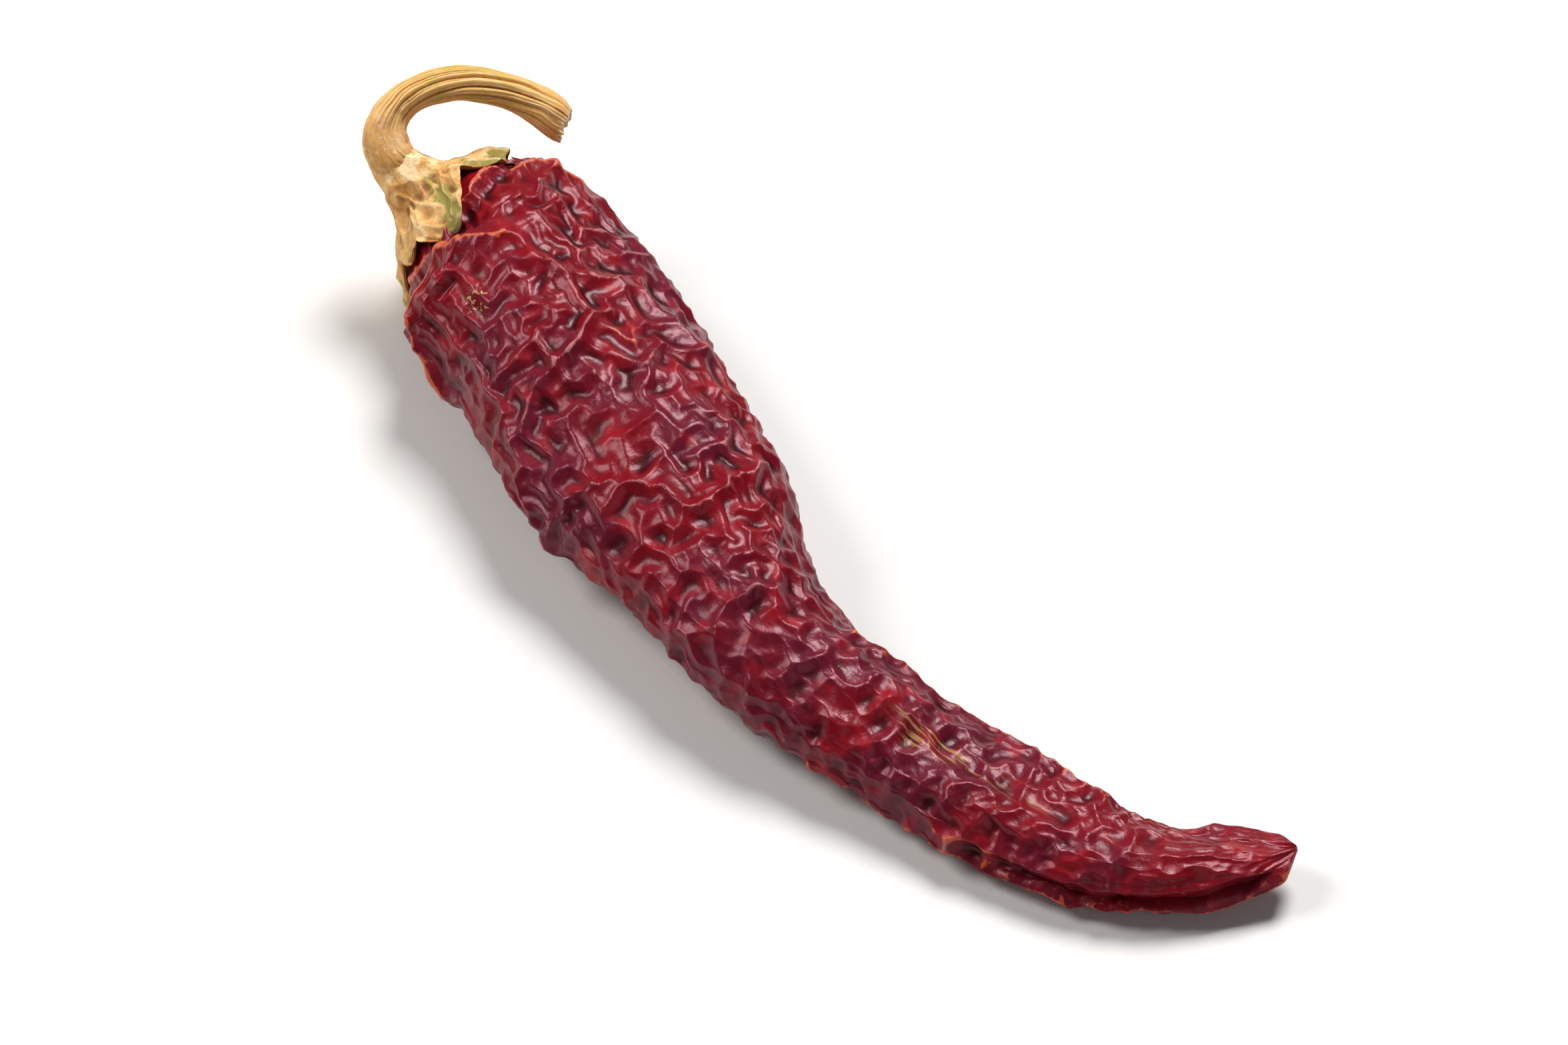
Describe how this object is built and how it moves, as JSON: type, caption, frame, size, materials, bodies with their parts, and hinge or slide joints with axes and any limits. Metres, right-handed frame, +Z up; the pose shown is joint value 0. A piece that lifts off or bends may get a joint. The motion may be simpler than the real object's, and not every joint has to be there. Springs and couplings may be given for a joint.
{
  "type": "dried chilli pepper",
  "caption": "Long dried chilli pepper lying on its side: wrinkled curved pod that tapers to a curled tip, flared calyx and hooked stem.",
  "frame": {"origin": "on the surface the pepper lies on, under the centre of its bounding box", "axes": "+X along the pepper's length from stem to tip, +Z up from the surface it lies on"},
  "size_m": [0.1368, 0.0426, 0.024],
  "materials": {
    "pod_skin": "glossy dried skin, deep crimson with pale crest lines",
    "calyx_skin": "matte, papery, tan with olive patches",
    "stem_bark": "matte, fibrous, golden tan"
  },
  "bodies": {
    "root": {"pod": "pod_skin", "calyx": "calyx_skin", "stem": "stem_bark"}
  },
  "joints": []
}
